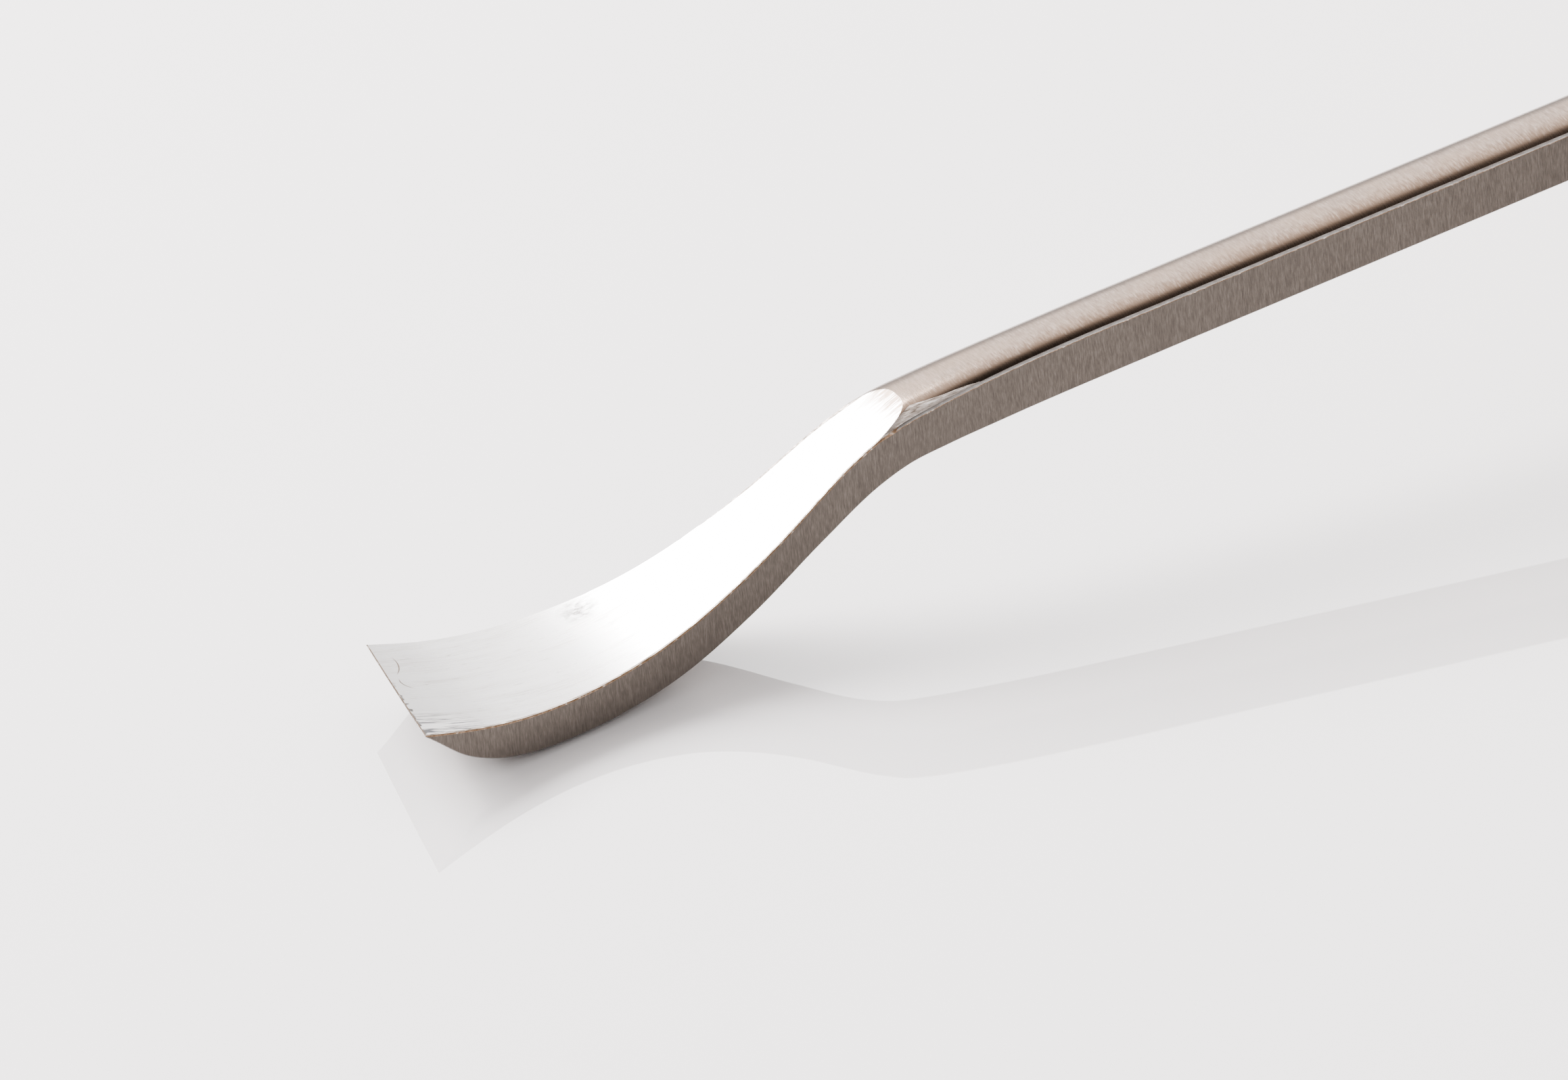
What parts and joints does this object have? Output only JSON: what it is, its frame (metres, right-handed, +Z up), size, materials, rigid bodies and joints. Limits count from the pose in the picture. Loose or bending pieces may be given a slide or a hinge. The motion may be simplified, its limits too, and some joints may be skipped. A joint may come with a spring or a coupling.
{
  "type": "spoon-bent palette knife",
  "caption": "Small spoon-bent palette knife: flared concave steel blade with a bevelled tip on a slim bar shank, in a palm-sized wooden handle with a ferrule.",
  "frame": {"origin": "centre of the bounding box at the bench surface, with the tool lying as it rests on its blade heel and the flat under its handle", "axes": "+X from the blade's tip to the handle's butt, +Y towards the side of the trailing tip corner, +Z up from the bench"},
  "size_m": [0.1178, 0.0336, 0.0331],
  "materials": {
    "ground_steel": "cross-ground sides and shank, polished concave blade face",
    "ferrule_brass": "turned and lightly polished",
    "turned_beech": "oiled satin, fine grain along the handle",
    "pin_steel": "filed flush and polished"
  },
  "bodies": {
    "root": {"blade_and_shank": "ground_steel", "ferrule": "ferrule_brass", "handle": "turned_beech", "cross_pin": "pin_steel"}
  },
  "joints": []
}
